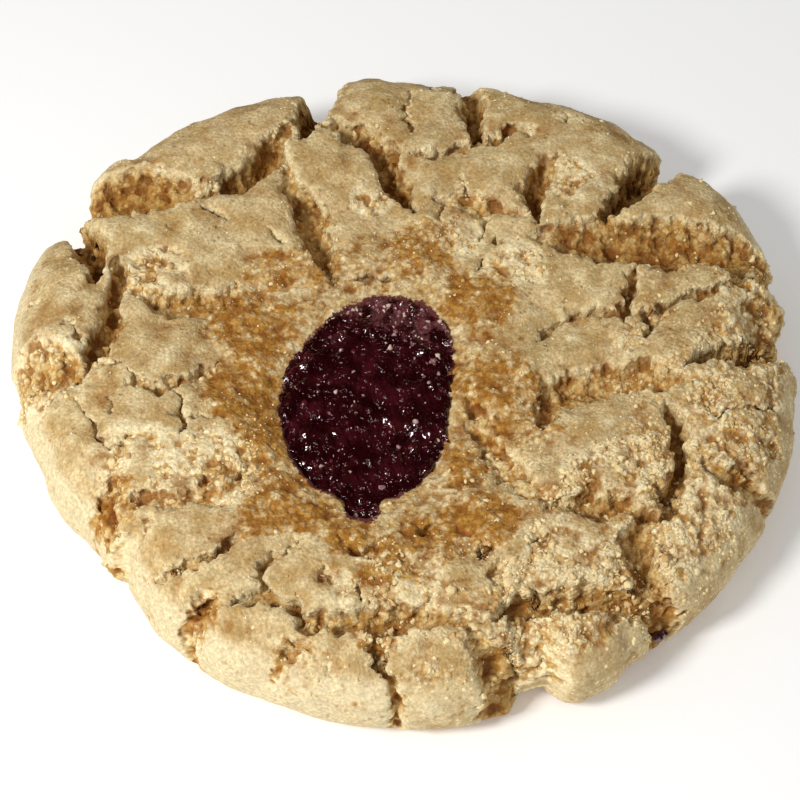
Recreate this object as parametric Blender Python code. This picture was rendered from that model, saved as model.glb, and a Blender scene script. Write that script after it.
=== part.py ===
"""A round cracked biscuit with a pool of strawberry jam in its middle.

The biscuit is a blank turned from a meridian, given its own uneven rim, and sunk along its cracks.
The jam fills a well in its middle. Lengths are in millimetres until a mesh is written, in metres.
"""

import math

import bmesh
import bpy
import numpy as np
from mathutils import noise

MM = 0.001

# Blank: the meridian runs from the middle of the top, over the shoulder and heel, to the flat base.
RIM_RADIUS = 50.5
CROWN = 14.3
MIDDLE_HEIGHT = 12.6
MIDDLE_RADIUS = 17.0
CROWN_RADIUS = 34.0
SHOULDER = 9.5
WAIST_HEIGHT = 6.3
HEEL = 4.2
TOP_STEPS = 60
TURN_STEPS = 40
BASE_STEPS = 30

# Mesh: the blank starts as a sphere whose points are spread evenly, fewer on the base, then thinned.
BASE_DENSITY = 0.25
BLANK_SUBDIVISIONS = 7
BISCUIT_SHARE = 0.128
BISCUIT_COLOUR = (0.46, 0.29, 0.12)
BISCUIT_ROUGHNESS = 0.85

# Uneven rim: waves round the circle, each (waves in a turn, height, degrees of its crest), then
# corners and dents, each (degrees of its middle, how far it stands out, degrees to its edge).
RIM_WAVES = ((1, 0.7, 86), (2, 0.93, -51), (3, 1.3, 36), (4, 0.4, -9), (5, 0.39, 34))
RIM_SPOTS = (
    (4, -2.0, 6),
    (22, 0.8, 10),
    (32, 0.9, 6),
    (58, 0.6, 9),
    (78, 0.6, 5),
    (98, 0.8, 7),
    (125, 0.7, 12),
    (142, 1.7, 5),
    (151, -1.8, 4.5),
    (205, 0.8, 7),
    (222, -1.4, 2.5),
    (238, 1.0, 14),
    (288, -2.8, 4.2),
    (296, 1.2, 6),
    (341, 0.6, 16),
    (358, 0.8, 4),
)
SPOT_SHARPNESS = 1.5

# Unevenness: (size of a lump, height, place in the noise that it is drawn from).
NOISE_RANGE = 1.6
SWELL = (11.0, 0.6, 1.3)
CRUST = (4.5, 0.28, 2.1)
RIM_CRUST = (4.5, 0.28, 6.6)
CRUMB = (2.6, 0.5, 9.4)
JAM_FRUIT = (2.2, 0.35, 4.2)
RAGGED_ACROSS = ((4.4, 0.65, 3.7), (1.5, 0.4, 5.2))
RAGGED_ALONG = ((4.4, 0.65, 11.3), (1.5, 0.4, 13.9))

# Jam: an egg-shaped pool, its tip leaning right, with a small run of jam at the front.
JAM_CENTRE = (-5.4, -8.2)
JAM_HALF_WIDTH = 10.5
JAM_HALF_LENGTH = 16.4
JAM_SQUARENESS = 2.15
JAM_LEAN = 3.0
JAM_RUN = 2.2
JAM_RUN_SPREAD = 0.24
JAM_LEVEL = 11.1
JAM_DOME = 0.8
JAM_DEPTH = 5.5
JAM_BOWL = 2.6
JAM_SPREAD = 0.9
JAM_SUBDIVISIONS = 5
JAM_SHARE = 0.42
JAM_COLOUR = (0.045, 0.006, 0.008)
JAM_ROUGHNESS = 0.2

# Well: the jam's own bowl, cut this much larger, with a cutter that rises past the top.
GAP = 0.35
CUTTER_SUBDIVISIONS = 4
CUTTER_RISE = 8.0
JAM_DIP = 1.3
JAM_DIP_REACH = 4.5

# Cracks: (depth, bite at the rim, width to the left, width to the right, step, start, middle, end).
# The line runs from start to end, and its left side stands higher by the step.
CRACKS = (
    # Back
    (7.0, 6.0, 3.2, 3.0, 0.0, (-12.6, 57), (-12.6, 44), (-14.4, 35.5)),
    (4.6, 0.0, 2.5, 2.2, 0.0, (-11.5, 37.5), (-4.5, 33.5), (0.4, 22.5)),
    (4.4, 0.5, 1.9, 1.9, 0.0, (8.3, 56), (9.0, 44), (9.6, 34.5)),
    (2.0, 0.0, 1.1, 0.9, 0.0, (1.0, 32.5), (8.0, 33.6), (17.3, 37.5)),
    (4.0, 0.0, 2.0, 2.1, 0.0, (20.8, 32), (17.6, 27), (17.0, 20)),
    (1.8, 0.0, 2.2, 1.6, 0.0, (3.5, 24.5), (9.0, 23.6), (15.0, 21.5)),
    (3.6, 0.0, 2.0, 2.6, 0.0, (-9.7, 11.5), (-12.6, 20), (-16.5, 30)),
    (1.3, 0.0, 0.7, 0.6, 0.0, (-9.5, 11.4), (-5.5, 11.8), (-1.5, 11.4)),
    # Back right and right
    (7.0, 4.2, 2.9, 2.7, 0.0, (27.0, 20.5), (32.0, 28.5), (44.0, 39.5)),
    (4.0, 1.2, 5.0, 3.8, 0.0, (17.0, 17.8), (33.0, 15.6), (55.0, 12.5)),
    (3.4, 0.0, 1.1, 1.1, 0.0, (28.4, 3.0), (28.8, 6.5), (29.6, 12.0)),
    (2.0, 0.0, 1.1, 0.7, 0.0, (17.0, 0.3), (21.0, 4.2), (28.6, 4.8)),
    (1.7, 0.0, 0.9, 0.7, 0.9, (31.0, -0.5), (33.0, 5.0), (43.5, 8.5)),
    (5.0, 2.4, 2.1, 1.8, 0.0, (35.0, -4.6), (43.0, -1.6), (56.0, 1.6)),
    (2.8, 0.0, 3.9, 2.5, 0.0, (17.0, -13.4), (22.0, -7.4), (36.0, -7.2)),
    (3.5, 0.0, 1.4, 1.4, 0.0, (31.5, -10.0), (33.7, -18.0), (30.2, -28.5)),
    (3.0, 0.0, 3.0, 2.4, 0.0, (17.0, -26.3), (23.5, -26.2), (30.3, -27.8)),
    (2.0, 1.2, 1.7, 1.7, 0.0, (36.0, -19.5), (42.0, -22.0), (56.0, -23.5)),
    (1.2, 0.0, 2.3, 2.3, 0.0, (8.5, -7.5), (11.0, -17.5), (18.0, -26.5)),
    # Front
    (3.0, 1.2, 2.1, 2.1, 0.0, (29.7, -27.0), (27.8, -34.0), (33.0, -44.0)),
    (3.2, 1.6, 3.4, 0.7, 0.0, (10.5, -43.6), (19.0, -40.7), (37.0, -41.5)),
    (3.2, 3.0, 2.4, 3.4, 0.0, (7.0, -43.8), (10.5, -47.5), (17.5, -55.0)),
    (3.0, 1.4, 0.9, 0.9, 0.0, (-4.6, -44.0), (-3.0, -47.2), (-0.2, -54.0)),
    (3.0, 0.0, 3.4, 0.6, 0.0, (-12.5, -43.0), (-3.0, -43.7), (8.0, -43.2)),
    (2.8, 0.0, 1.3, 0.8, 0.0, (-21.0, -40.4), (-15.5, -40.0), (-11.5, -43.4)),
    (1.9, 1.0, 1.3, 1.3, 0.0, (-22.5, -39.4), (-25.0, -40.8), (-29.0, -46.0)),
    (1.8, 0.0, 0.8, 0.8, 0.0, (-14.5, -33.3), (-16.8, -36.5), (-16.0, -39.6)),
    # Left
    (1.7, 0.0, 0.8, 0.7, 0.0, (-30.0, -35.8), (-23.5, -33.8), (-19.0, -29.5)),
    (1.9, 0.0, 1.3, 1.3, 0.0, (-35.3, -21.5), (-36.8, -25.5), (-34.5, -31.5)),
    (1.9, 0.0, 1.3, 1.2, 0.0, (-35.0, -5.5), (-31.0, -8.3), (-24.0, -4.0)),
    (1.8, 0.0, 0.9, 0.7, 0.0, (-29.3, -9.5), (-28.4, -12.5), (-28.0, -16.0)),
    (2.6, 0.0, 2.6, 1.9, 0.0, (-34.0, 7.6), (-29.0, 5.0), (-21.5, 10.2)),
    (2.2, 1.0, 4.4, 0.8, 2.6, (-56.0, -3.5), (-46.5, -6.6), (-38.0, -5.3)),
    (3.2, 0.0, 1.4, 1.4, 0.0, (-37.7, 13.5), (-38.2, 5.5), (-40.0, -6.0)),
    (6.0, 3.2, 2.4, 2.3, 0.0, (-41.0, 9.5), (-42.3, 16.5), (-51.0, 26.5)),
    (4.4, 0.6, 4.9, 4.9, 0.0, (-50.0, 26.0), (-37.0, 26.2), (-25.0, 25.6)),
    (5.2, 0.0, 2.2, 2.3, 0.0, (-28.5, 26.0), (-21.0, 28.8), (-16.5, 37.0)),
)
LINE_PIECES = 6
END_WIDTH = 0.35
STEP_REACH = 7.0
WALL_START = 0.3
WALL_BEND = 2.0


def smooth(value):
    """Runs from 0 to 1 as the value does, level at both ends."""
    value = np.clip(value, 0, 1)
    return value * value * (3 - 2 * value)


def lumps(points, kind):
    """Height at each point of this kind of unevenness."""
    size, height, shift = kind
    places = (points / size + shift).tolist()
    return NOISE_RANGE * height * np.array([noise.noise(place) for place in places])


def meridian():
    """Radius and height along the meridian, from the middle of the top to the middle of the base."""
    flat_radius = RIM_RADIUS - SHOULDER
    top_radius = np.linspace(0, flat_radius, TOP_STEPS)
    rise = smooth((top_radius - MIDDLE_RADIUS) / (CROWN_RADIUS - MIDDLE_RADIUS))
    top_height = MIDDLE_HEIGHT + (CROWN - MIDDLE_HEIGHT) * rise
    turn = np.linspace(math.pi / 2, 0, TURN_STEPS)[1:]
    shoulder_radius = flat_radius + SHOULDER * np.cos(turn)
    shoulder_height = WAIST_HEIGHT + (CROWN - WAIST_HEIGHT) * np.sin(turn)
    heel_radius = RIM_RADIUS - HEEL + HEEL * np.cos(turn[::-1])
    heel_height = WAIST_HEIGHT * (1 - np.sin(turn[::-1]))
    base_radius = np.linspace(RIM_RADIUS - HEEL, 0, BASE_STEPS)
    radius = np.concatenate([top_radius, shoulder_radius, heel_radius, base_radius])
    height = np.concatenate([top_height, shoulder_height, heel_height, 0 * base_radius])
    return radius, height


def rim_radius(angle):
    radius = np.full(len(angle), RIM_RADIUS)
    for count, height, crest in RIM_WAVES:
        radius += height * np.cos(count * (angle - math.radians(crest)))
    for middle, height, reach in RIM_SPOTS:
        away = np.degrees(angle) - middle
        away = np.abs((away + 180) % 360 - 180)
        radius += height * smooth(SPOT_SHARPNESS * (1 - away / reach))
    return radius


def icosphere(subdivisions):
    sphere = bmesh.new()
    bmesh.ops.create_icosphere(sphere, subdivisions=subdivisions, radius=1)
    return sphere, np.array([vert.co for vert in sphere.verts])


def on_blank(directions):
    """Points on the blank for a sphere's directions, and how far each one faces up and out."""
    radius, height = meridian()
    length = np.hypot(np.diff(radius), np.diff(height))
    density = np.where(height[1:] > 0, 1.0, BASE_DENSITY)
    area = np.concatenate([[0], np.cumsum(length * density * (radius[1:] + radius[:-1]) / 2)])
    share = (1 - directions[:, 2]) / 2 * area[-1]
    angle = np.arctan2(directions[:, 1], directions[:, 0])
    at_radius = np.interp(share, area, radius)
    at_height = np.interp(share, area, height)
    reach = at_radius * rim_radius(angle) / RIM_RADIUS
    points = np.stack([reach * np.cos(angle), reach * np.sin(angle), at_height], 1)
    out = smooth((at_radius - RIM_RADIUS + SHOULDER) / SHOULDER)
    up = np.where(at_height >= WAIST_HEIGHT, np.sqrt(1 - out * out), 0)
    return points, up, out


def jam_outline(angle, grow):
    """Plan offset from the jam's centre to its edge, at this angle round it, grown by this much."""
    power = 2 / JAM_SQUARENESS
    across = np.sign(np.cos(angle)) * np.abs(np.cos(angle)) ** power * (JAM_HALF_WIDTH + grow)
    run = JAM_RUN * np.exp(-((np.cos(angle) / JAM_RUN_SPREAD) ** 2))
    length = JAM_HALF_LENGTH + grow + np.where(np.sin(angle) < 0, run, 0)
    along = np.sign(np.sin(angle)) * np.abs(np.sin(angle)) ** power * length
    lean = JAM_LEAN * smooth(along / JAM_HALF_LENGTH)
    return across + lean, along


def jam_distance(points):
    """Rough distance outside the jam's edge, negative inside."""
    x = points[:, 0] - JAM_CENTRE[0]
    y = points[:, 1] - JAM_CENTRE[1]
    x = x - JAM_LEAN * smooth(y / JAM_HALF_LENGTH)
    beyond = np.hypot(x / JAM_HALF_WIDTH, y / JAM_HALF_LENGTH) - 1
    return beyond * (JAM_HALF_WIDTH + JAM_HALF_LENGTH) / 2


def crack_line(start, middle, end):
    """Points along the curve that passes through the three."""
    start, middle, end = (np.array(point, float) for point in (start, middle, end))
    along = np.linspace(0, 1, LINE_PIECES + 1)[:, None]
    handle = 2 * middle - (start + end) / 2
    return (1 - along) ** 2 * start + 2 * along * (1 - along) * handle + along**2 * end


def beside_line(plan, line):
    """How far each plan point is from the line, on which side, +1 on the left, and from its ends."""
    nearest = np.full(len(plan), np.inf)
    side = np.ones(len(plan))
    place = np.zeros(len(plan))
    travelled = 0.0
    for start, end in zip(line[:-1], line[1:]):
        run = end - start
        length = np.hypot(*run)
        offset = plan - start
        along = np.clip(offset @ run / length**2, 0, 1)
        distance = np.hypot(*(offset - along[:, None] * run).T)
        closer = distance < nearest
        nearest = np.where(closer, distance, nearest)
        side = np.where(closer, np.sign(run[0] * offset[:, 1] - run[1] * offset[:, 0]), side)
        place = np.where(closer, travelled + along * length, place)
        travelled += length
    return nearest, side, np.minimum(place, travelled - place)


def crack_relief(points):
    """How far each point sinks, how far the rim draws in, and how far it is lifted by steps."""
    plan = points[:, :2].copy()
    for across, along in zip(RAGGED_ACROSS, RAGGED_ALONG):
        plan += np.stack([lumps(points, across), lumps(points, along)], 1)
    sunk = np.zeros(len(points))
    bitten = np.zeros(len(points))
    lifted = np.zeros(len(points))
    for depth, bite, left, right, step, *ends in CRACKS:
        distance, side, from_end = beside_line(plan, crack_line(*ends))
        taper = smooth(END_WIDTH + from_end / (2 * (left + right)))
        across = distance / (np.where(side > 0, left, right) * taper)
        wall = 1 - np.clip((across - WALL_START) / (1 - WALL_START), 0, 1) ** WALL_BEND
        sunk = np.maximum(sunk, depth * taper * wall)
        bitten = np.maximum(bitten, bite * wall)
        if step:
            fading = np.exp(-distance / STEP_REACH) * smooth(from_end / left)
            lifted += step / 2 * np.tanh(side * distance) * fading
    return sunk, bitten, lifted


def shape_biscuit(directions):
    points, up, out = on_blank(directions)
    above_base = smooth(points[:, 2] / WAIST_HEIGHT)
    sunk, bitten, lifted = crack_relief(points)
    dip = np.exp(-np.clip(jam_distance(points), 0, None) / JAM_DIP_REACH)
    relief = lumps(points, SWELL) + lumps(points, CRUST) + smooth(sunk) * lumps(points, CRUMB)
    relief = relief * (1 - dip) - JAM_DIP * dip
    draw_in = out * above_base * (bitten + lumps(points, RIM_CRUST))
    radius = np.maximum(np.hypot(points[:, 0], points[:, 1]), 1)
    points[:, :2] *= (1 - draw_in / radius)[:, None]
    points[:, 2] += up * above_base * (relief + lifted - sunk)
    return points


def shape_jam(directions, grow, top_rise):
    """Points of the pool of jam, or of the cutter for its well where it is grown and its top raised."""
    angle = np.arctan2(directions[:, 1], directions[:, 0])
    across, along = jam_outline(angle, grow)
    reach = np.hypot(directions[:, 0], directions[:, 1]) ** JAM_SPREAD
    bowl = np.sqrt(np.clip(1 - reach**JAM_BOWL, 0, 1))
    points = np.stack([JAM_CENTRE[0] + across * reach, JAM_CENTRE[1] + along * reach, 0 * reach], 1)
    top = JAM_LEVEL + top_rise + bowl * (JAM_DOME + lumps(points, JAM_FRUIT))
    bottom = JAM_LEVEL - bowl * (JAM_DEPTH + grow)
    points[:, 2] = np.where(directions[:, 2] > 0, top, bottom)
    return points


def make_object(name, collection, sphere, points):
    """Writes the sphere's mesh with its vertices moved to the points, as an object."""
    for vert, point in zip(sphere.verts, (points * MM).tolist()):
        vert.co = point
    bmesh.ops.recalc_face_normals(sphere, faces=sphere.faces)
    mesh = bpy.data.meshes.new(name)
    sphere.to_mesh(mesh)
    sphere.free()
    made = bpy.data.objects.new(name, mesh)
    collection.objects.link(made)
    return made


def make_material(name, colour, roughness):
    material = bpy.data.materials.new(name)
    material.use_nodes = True
    shader = material.node_tree.nodes["Principled BSDF"]
    shader.inputs["Base Color"].default_value = (*colour, 1)
    shader.inputs["Roughness"].default_value = roughness
    shader.inputs["Metallic"].default_value = 0
    return material


def make_collection(name):
    collection = bpy.data.collections.new(name)
    bpy.context.scene.collection.children.link(collection)
    return collection


def thin(piece, share):
    modifier = piece.modifiers.new("Thin", "DECIMATE")
    modifier.ratio = share


def make_jam(collection):
    sphere, directions = icosphere(JAM_SUBDIVISIONS)
    jam = make_object("jam", collection, sphere, shape_jam(directions, 0, 0))
    jam.data.materials.append(make_material("Jam", JAM_COLOUR, JAM_ROUGHNESS))
    jam.data.shade_smooth()
    thin(jam, JAM_SHARE)
    return jam


def make_well_cutter(collection):
    sphere, directions = icosphere(CUTTER_SUBDIVISIONS)
    cutter = make_object("well_cutter", collection, sphere, shape_jam(directions, GAP, CUTTER_RISE))
    cutter.hide_render = True
    cutter.display_type = "WIRE"
    return cutter


def make_biscuit(collection, cutter):
    sphere, directions = icosphere(BLANK_SUBDIVISIONS)
    biscuit = make_object("cookie", collection, sphere, shape_biscuit(directions))
    biscuit.data.materials.append(make_material("Baked crust", BISCUIT_COLOUR, BISCUIT_ROUGHNESS))
    biscuit.data.shade_smooth()
    thin(biscuit, BISCUIT_SHARE)
    well = biscuit.modifiers.new("Well", "BOOLEAN")
    well.operation = "DIFFERENCE"
    well.object = cutter
    return biscuit


def main():
    for old in list(bpy.data.objects):
        bpy.data.objects.remove(old)
    parts = make_collection("strawberry_cookie")
    cutters = make_collection("cutters")
    make_jam(parts)
    make_biscuit(parts, make_well_cutter(cutters))


main()
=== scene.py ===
import math

import bmesh
import bpy
import numpy as np
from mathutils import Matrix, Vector, noise


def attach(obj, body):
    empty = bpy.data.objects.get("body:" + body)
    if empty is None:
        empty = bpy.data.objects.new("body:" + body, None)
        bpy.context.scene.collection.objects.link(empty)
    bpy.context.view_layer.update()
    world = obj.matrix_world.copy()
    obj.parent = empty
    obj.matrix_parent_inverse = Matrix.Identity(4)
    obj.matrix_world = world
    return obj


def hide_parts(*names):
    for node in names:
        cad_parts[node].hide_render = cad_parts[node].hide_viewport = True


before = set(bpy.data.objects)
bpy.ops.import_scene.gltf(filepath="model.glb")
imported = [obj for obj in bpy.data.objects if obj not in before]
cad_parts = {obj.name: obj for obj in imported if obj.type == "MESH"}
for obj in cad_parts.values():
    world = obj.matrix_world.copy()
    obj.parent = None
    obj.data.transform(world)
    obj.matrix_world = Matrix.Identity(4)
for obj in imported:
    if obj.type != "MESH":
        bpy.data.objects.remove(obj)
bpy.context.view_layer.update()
mm = 0.001  # shapes are worked out in millimetres and written in metres

# Biscuit: a blank turned from a meridian, with its own uneven rim, sunk along its cracks
biscuit = {
    "rimRadius": 50.5,
    "crown": 14.3,
    "middleHeight": 12.6,
    "middleRadius": 17.0,
    "crownRadius": 34.0,
    "shoulder": 9.5,
    "waistHeight": 6.3,
    "heel": 4.2,
    "topSteps": 60,
    "turnSteps": 40,
    "baseSteps": 30,
    "baseDensity": 0.1,
    "subdivisions": 9,
    "quickSubdivisions": 8,
    "relaxTurns": 12,
    "relaxShare": 0.7,
    "relaxFrom": 0.3,  # edges this long start to be evened out
    "relaxOver": 0.4,
    "triangles": 196000,
    "noiseRange": 1.6,
    "swell": (11.0, 0.6, 1.3),  # size of a lump, its height, its place in the noise
    "crust": (4.5, 0.28, 2.1),
    "rimCrust": (4.5, 0.28, 6.6),
    "crumb": (2.6, 0.5, 9.4),
    "crustRelief": ((3.2, 0.2, 12.2), (1.6, 0.12, 14.6)),
    "sandGrain": (1.05, 0.5, 19.5),
    "roughness": 0.15,  # share of crumb relief on sound crust
    "roughRing": 0.58,  # and on the toasted ring
    "roughSand": 0.7,  # and on the sandy crust
    "ceiling": 14.9,  # nothing of the crust stands above this
    "ceilingSoftness": 1.0,
    "looseCeiling": 14.65,  # and no loose crumb lies above this
    "lift": 0.3,  # added to the whole top
    "spotSpread": 1.3,
    "brokenFrom": 0.7,  # the crust is fully broken where it has sunk this far
    "pitFrom": 0.8,
    "flakeLumps": (3.1, 0.5, 40.0),  # where the crust has flaked off in the crumbly places
    "flakeShare": 0.9,
    "flakeContrast": 2.2,
    "rimRounding": 0.7,
    "ringEnd": 5.0,  # the toasted ring's even part, and how far it takes to fade
    "ringFade": 8.0,
    "ringToast": 0.38,
    "patchToast": 0.95,
    "clusters": (5.0, 0.5, 50.0),  # where loose crumbs and sugar gather
    "sandy": (-18.0, 34.0),  # where the sandy crust starts and how far it takes to be full
    "sandyTurn": 0.7,
    "sandyEdge": (4.0, 0.35, 60.0),
    "sandHeight": 0.7,
    "pillow": 0.26,  # how far the plates' edges are rounded down, for a crack 1 mm deep
    "pillowReach": 1.5,
    "raggedAcross": ((4.4, 0.65, 3.7), (1.5, 0.5, 5.2), (0.7, 0.24, 21.1)),
    "raggedAlong": ((4.4, 0.65, 11.3), (1.5, 0.5, 13.9), (0.7, 0.24, 24.8)),
    "lip": 0.35,  # how far the broken face starts below the crust
    "clumps": (1.6, 0.55, 31.0),
    "clumpWarp": (0.9, 0.35, 33.0),
    "crumbGrain": ((2.6, 0.3, 34.0), (1.1, 0.26, 35.0), (0.55, 0.16, 36.0)),
}

# Waves round the rim: (waves in a turn, height, degrees of its crest)
rimWaves = ((1, 0.7, 86), (2, 0.93, -51), (3, 1.3, 36), (4, 0.4, -9), (5, 0.39, 34))

# Corners and dents in the rim: (degrees of its middle, how far it stands out, degrees to its edge)
rimSpots = (
    (4, -2.0, 6),
    (22, 0.8, 10),
    (32, 0.9, 6),
    (58, 0.6, 9),
    (78, 0.6, 5),
    (98, 0.8, 7),
    (125, 0.7, 12),
    (142, 1.7, 5),
    (151, -1.8, 4.5),
    (205, 0.8, 7),
    (222, -1.4, 2.5),
    (238, 1.0, 14),
    (288, -2.8, 4.2),
    (296, 1.2, 6),
    (341, 0.6, 16),
    (358, 0.8, 4),
)

# Cracks: (depth, bite at the rim, width to the left, width to the right, step, start, middle, end)
cracks = (
    # Back
    (7, 6, 3.2, 3, 0, (-12.6, 57), (-12.6, 44), (-14.4, 35.5)),
    (4.6, 0, 2.5, 2.2, 0, (-11.5, 37.5), (-4.5, 33.5), (0.4, 22.5)),
    (4.4, 0.5, 1.9, 1.9, 0, (8.3, 56), (9, 44), (9.6, 34.5)),
    (2, 0, 1.1, 0.9, 0, (1, 32.5), (8, 33.6), (17.3, 37.5)),
    (4, 0, 2, 2.1, 0, (20.8, 32), (17.6, 27), (17, 20)),
    (1.8, 0, 2.2, 1.6, 0, (3.5, 24.5), (9, 23.6), (15, 21.5)),
    (3.6, 0, 2, 2.6, 0, (-9.7, 11.5), (-12.6, 20), (-16.5, 30)),
    (1.3, 0, 0.7, 0.6, 0, (-9.5, 11.4), (-5.5, 11.8), (-1.5, 11.4)),
    # Back right and right
    (7, 4.2, 2.9, 2.7, 0, (27, 20.5), (32, 28.5), (44, 39.5)),
    (4, 1.2, 5, 3.8, 0, (17, 17.8), (33, 15.6), (55, 12.5)),
    (3.4, 0, 1.1, 1.1, 0, (28.4, 3), (28.8, 6.5), (29.6, 12)),
    (2, 0, 1.1, 0.7, 0, (17, 0.3), (21, 4.2), (28.6, 4.8)),
    (1.7, 0, 0.9, 0.7, 0.9, (31, -0.5), (33, 5), (43.5, 8.5)),
    (5, 2.4, 2.1, 1.8, 0, (35, -4.6), (43, -1.6), (56, 1.6)),
    (2.8, 0, 3.9, 2.5, 0, (17, -13.4), (22, -7.4), (36, -7.2)),
    (3.5, 0, 1.4, 1.4, 0, (31.5, -10), (33.7, -18), (30.2, -28.5)),
    (3, 0, 3, 2.4, 0, (17, -26.3), (23.5, -26.2), (30.3, -27.8)),
    (2, 1.2, 1.7, 1.7, 0, (36, -19.5), (42, -22), (56, -23.5)),
    (1.2, 0, 2.3, 2.3, 0, (8.5, -7.5), (11, -17.5), (18, -26.5)),
    # Front
    (3, 1.2, 2.1, 2.1, 0, (29.7, -27), (27.8, -34), (33, -44)),
    (3.2, 1.6, 3.4, 0.7, 0, (10.5, -43.6), (19, -40.7), (37, -41.5)),
    (3.2, 3, 2.4, 3.4, 0, (7, -43.8), (10.5, -47.5), (17.5, -55)),
    (3, 1.4, 0.9, 0.9, 0, (-4.6, -44), (-3, -47.2), (-0.2, -54)),
    (3, 0, 3.4, 0.6, 0, (-12.5, -43), (-3, -43.7), (8, -43.2)),
    (2.8, 0, 1.3, 0.8, 0, (-21, -40.4), (-15.5, -40), (-11.5, -43.4)),
    (1.9, 1, 1.3, 1.3, 0, (-22.5, -39.4), (-25, -40.8), (-29, -46)),
    (1.8, 0, 0.8, 0.8, 0, (-14.5, -33.3), (-16.8, -36.5), (-16, -39.6)),
    # Left
    (1.7, 0, 0.8, 0.7, 0, (-30, -35.8), (-23.5, -33.8), (-19, -29.5)),
    (1.9, 0, 1.3, 1.3, 0, (-35.3, -21.5), (-36.8, -25.5), (-34.5, -31.5)),
    (1.9, 0, 1.3, 1.2, 0, (-35, -5.5), (-31, -8.3), (-24, -4)),
    (1.8, 0, 0.9, 0.7, 0, (-29.3, -9.5), (-28.4, -12.5), (-28, -16)),
    (2.6, 0, 2.6, 1.9, 0, (-34, 7.6), (-29, 5), (-21.5, 10.2)),
    (2.2, 1, 4.4, 0.8, 2.6, (-56, -3.5), (-46.5, -6.6), (-38, -5.3)),
    (3.2, 0, 1.4, 1.4, 0, (-37.7, 13.5), (-38.2, 5.5), (-40, -6)),
    (6, 3.2, 2.4, 2.3, 0, (-41, 9.5), (-42.3, 16.5), (-51, 26.5)),
    (4.4, 0.6, 4.9, 4.9, 0, (-50, 26), (-37, 26.2), (-25, 25.6)),
    (5.2, 0, 2.2, 2.3, 0, (-28.5, 26), (-21, 28.8), (-16.5, 37)),
)

# Hairlines, too fine for the solid: (depth, width to the left, width to the right, start, middle, end)
hairlines = (
    (1.2, 0.5, 0.5, (3.5, 50), (3.4, 47), (3.5, 44)),
    (0.8, 0.5, 0.5, (0.5, 44), (0, 40), (1.2, 36)),
    (0.8, 0.5, 0.5, (21.5, 40), (21.6, 38.8), (21.8, 37.5)),
    (1.5, 0.7, 0.7, (16, 34.5), (16.6, 36), (17.2, 37.5)),
    (1, 0.4, 0.4, (7.7, 28.5), (7.8, 26.8), (7.8, 25)),
    (0.8, 0.4, 0.4, (5, 24), (5, 22.2), (4.8, 20.5)),
    (1.2, 0.5, 0.5, (10.5, 22), (10.5, 20), (10.3, 18)),
    (1.5, 0.7, 0.7, (12, 18.5), (12.1, 17.5), (12, 16.5)),
    (1.5, 0.5, 0.5, (9, 13.2), (9.5, 14.2), (10.2, 15)),
    (1.5, 0.5, 0.5, (29.8, 12), (29.8, 10.2), (30, 8.5)),
    (2.5, 0.7, 0.7, (31, 5), (30.6, 2.5), (31.2, 0)),
    (1.2, 0.5, 0.4, (-43.2, 2.5), (-42.5, 0), (-41, -2)),
    (0.6, 0.5, 0.5, (-50, 7), (-48.5, 6.5), (-47, 6.2)),
    (1.5, 0.6, 0.6, (-27.5, 22.5), (-25, 20), (-24.8, 18.7)),
    (1.3, 0.6, 0.6, (-18.5, 19.5), (-17, 17.5), (-16, 16.5)),
    (0.5, 0.4, 0.4, (-34.5, 14.5), (-32, 15), (-29, 15)),
    (1, 0.5, 0.5, (-37.5, -3.8), (-36.8, -4.2), (-36, -4.8)),
    (1.2, 0.8, 0.7, (-36, -7), (-35, -8), (-34, -9)),
    (1.2, 0.4, 0.4, (-40.5, -9.5), (-39.8, -12.5), (-37, -17.8)),
    (1.2, 0.4, 0.3, (-37, -17.8), (-35.2, -17.5), (-33.3, -14.8)),
    (0.8, 0.3, 0.3, (-36.8, -10), (-36.7, -11.8), (-36.6, -13.5)),
    (0.6, 0.3, 0.3, (-28, -12.7), (-26, -12.8), (-24, -12.5)),
    (1, 1.3, 1.2, (-34, -25.3), (-29, -25.5), (-21, -26)),
    (1.2, 0.5, 0.4, (-21, -23), (-20, -21.8), (-19, -20.5)),
    (0.8, 0.4, 0.4, (-29.7, -36), (-29.1, -35.8), (-28.5, -35.5)),
    (0.8, 0.3, 0.3, (-14.5, -33.3), (-13.3, -32.6), (-12, -32)),
    (0.8, 0.3, 0.3, (-9.8, -35), (-9.7, -36.5), (-9.7, -38)),
    (1, 0.3, 0.3, (-4.8, -37), (-4.9, -38.5), (-5, -40)),
    (1.5, 0.8, 0.7, (-16, -47.5), (-13, -46), (-11, -45.5)),
    (1.2, 0.8, 0.7, (-14, -44.5), (-13, -44.6), (-12, -44.7)),
    (0.8, 0.3, 0.3, (-9, -49.5), (-8.7, -48.5), (-8.3, -47.5)),
    (0.8, 0.4, 0.3, (2.3, -44.3), (2.5, -44.8), (2.6, -45.3)),
    (1.5, 0.4, 0.4, (8.8, -31.5), (8.9, -32.8), (9, -34)),
    (0.8, 0.3, 0.3, (14, -32.3), (15.8, -31.8), (17.5, -31)),
    (1.2, 1.3, 1.2, (11, -34), (11.1, -36.5), (11, -39)),
    (1.3, 1.1, 1.1, (-8, -31.5), (-5.5, -33.5), (-3, -32)),
    (1, 0.6, 0.6, (1, -30), (2, -29.5), (3, -29)),
    (1.2, 0.4, 0.4, (38, -12), (42, -11.5), (47, -9.5)),
)
crackForm = {
    "linePieces": 6,
    "endWidth": 0.35,
    "stepReach": 7.0,
    "wallStart": 0.3,
    "wallBend": 2.0,
    "margin": 7.0,
}

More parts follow.
